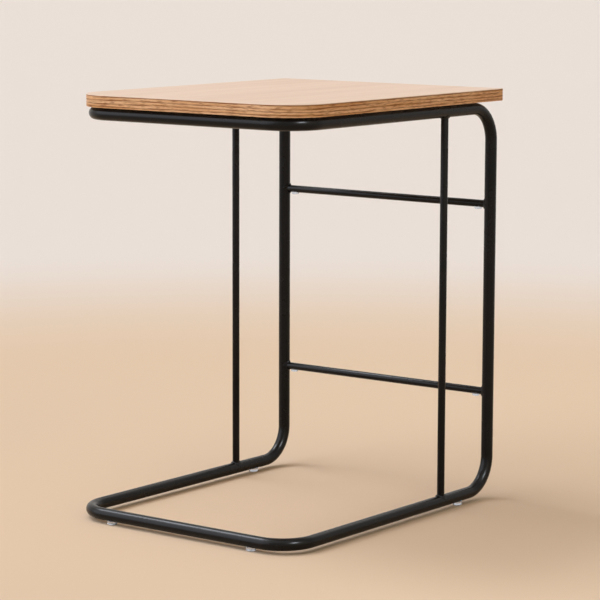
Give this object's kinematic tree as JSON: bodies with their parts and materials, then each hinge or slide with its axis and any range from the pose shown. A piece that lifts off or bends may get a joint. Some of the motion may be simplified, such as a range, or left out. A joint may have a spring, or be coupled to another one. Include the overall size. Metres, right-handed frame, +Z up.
{
  "type": "c-shaped side table",
  "caption": "C-shaped side table: an oak-look board with rounded front corners on a loop of black bent tube, with side rods, back rungs and clear feet.",
  "frame": {"origin": "on the floor, under the middle of the table", "axes": "+Z up, the open side of the C faces -Y, the uprights are at +Y, +X to the right as seen from the open side"},
  "size_m": [0.372, 0.466, 0.558],
  "materials": {
    "oak_face": "pale oak-look sheet, satin",
    "oak_edge": "oak-look edge band with brown grain streaks, satin",
    "particleboard": "raw particleboard",
    "black_powder_coat": "satin black powder coat",
    "black_zinc": "black zinc plating",
    "plain_steel": "plain drawn steel",
    "clear_plastic": "clear moulded plastic"
  },
  "bodies": {
    "root": {"top_core": "particleboard", "top_face_sheet": "oak_face", "underside_sheet": "oak_face", "edge_band": "oak_edge", "frame_tube_left": "black_powder_coat", "frame_tube_right": "black_powder_coat", "joint_sleeve_lower": "plain_steel", "joint_sleeve_upper": "plain_steel", "side_rod_left": "black_powder_coat", "side_rod_right": "black_powder_coat", "rung_upper": "black_powder_coat", "rung_lower": "black_powder_coat", "weld_beads_rods": "black_powder_coat", "weld_beads_rungs": "black_powder_coat", "fixing_tabs": "black_powder_coat", "fixing_bolts": "black_zinc", "threaded_inserts": "plain_steel", "foot_front_left": "clear_plastic", "foot_front_right": "clear_plastic", "foot_rear_left": "clear_plastic", "foot_rear_right": "clear_plastic", "rung_plug_upper_left": "clear_plastic", "rung_plug_upper_right": "clear_plastic", "rung_plug_lower_left": "clear_plastic", "rung_plug_lower_right": "clear_plastic"}
  },
  "joints": []
}
